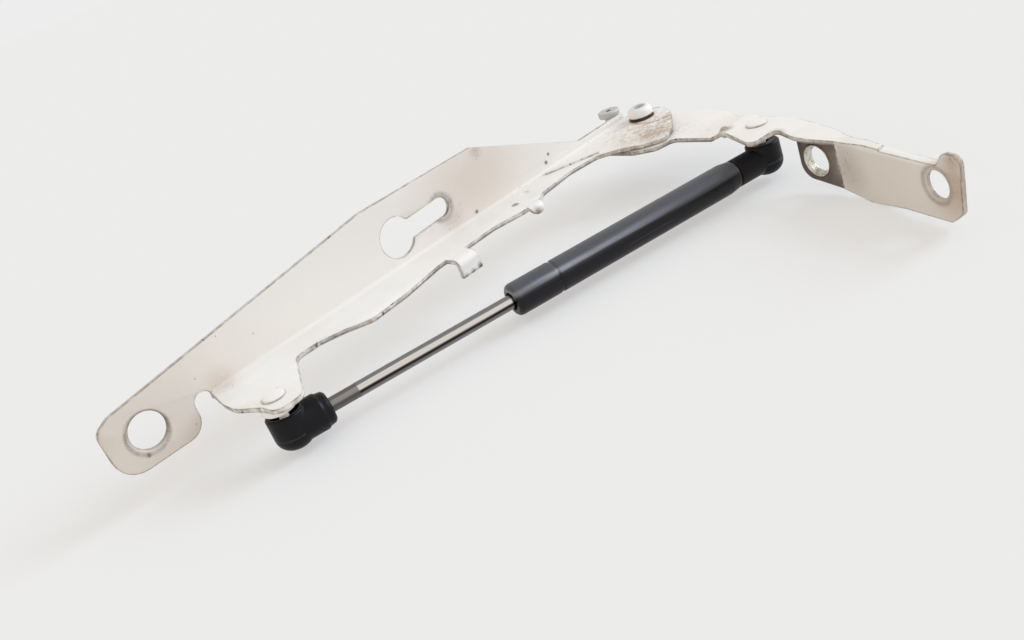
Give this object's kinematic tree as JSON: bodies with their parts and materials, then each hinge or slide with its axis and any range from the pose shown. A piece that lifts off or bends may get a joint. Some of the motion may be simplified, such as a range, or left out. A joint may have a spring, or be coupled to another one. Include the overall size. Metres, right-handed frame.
{
  "type": "car bonnet hinge",
  "caption": "Pressed-steel car bonnet hinge: an L-section arm with keyhole turns on a riveted body bracket and is held open by a gas strut on ball studs.",
  "frame": {"origin": "centre of the body bracket's fixing hole, halfway along its wall", "axes": "+Z along the pivot axis, away from the strut; +X along the open arm's bend line towards the pivot; +Y from the strut towards the arm's web"},
  "size_m": [0.4055, 0.2839, 0.0739],
  "materials": {
    "off_white_paint": "worn gloss paint over pressed steel",
    "black_paint": "satin black paint over drawn steel tube",
    "black_plastic": "moulded glass-filled nylon, satin",
    "chrome_rod": "ground and hard-chromed",
    "bare_steel": "turned",
    "zinc_steel": "zinc plated",
    "spring_steel": "drawn wire",
    "oiled_steel": "oil-blackened, rusted",
    "bronze": "sintered",
    "nylon": "moulded",
    "rubber": "moulded"
  },
  "bodies": {
    "bracket": {"body_bracket": "off_white_paint", "weld_nut": "zinc_steel", "pivot_rivet": "off_white_paint", "pivot_washer": "nylon", "rivet_washer": "oiled_steel", "stop_pin": "bare_steel", "bracket_ball_stud": "off_white_paint"},
    "arm": {"hinge_arm": "off_white_paint", "pivot_bush": "bronze", "arm_ball_stud": "off_white_paint"},
    "cylinder": {"strut_tube": "black_paint", "tube_end_stud": "bare_steel", "rod_guide": "bare_steel", "rod_seal": "rubber", "seal_support": "nylon", "tube_end_socket": "black_plastic", "tube_socket_clip": "spring_steel"},
    "rod": {"piston_rod": "chrome_rod", "piston": "bare_steel", "piston_ring": "rubber", "piston_nut": "bare_steel", "rod_end_socket": "black_plastic", "rod_socket_clip": "spring_steel"}
  },
  "joints": [
    {"name": "bonnet_hinge", "type": "hinge", "parent": "bracket", "child": "arm", "pos_m": [0.0647, 0.2345, 0.0135], "axis": [0, 0, 1], "range_deg": [0, 40]},
    {"name": "strut_swing", "type": "hinge", "parent": "bracket", "child": "cylinder", "pos_m": [0.0457, 0.129, -0.0067], "axis": [0, 0, 1], "range_deg": [0, 45.5]},
    {"name": "rod_slide", "type": "slide", "parent": "cylinder", "child": "rod", "axis": [0.9711, -0.2385, 0], "range_m": [0, 0.07]}
  ],
  "couplings": [
    {"joint": "strut_swing", "follows": "bonnet_hinge", "ratio": 1.1242},
    {"joint": "rod_slide", "follows": "bonnet_hinge", "m_per_rad": 0.09905}
  ]
}
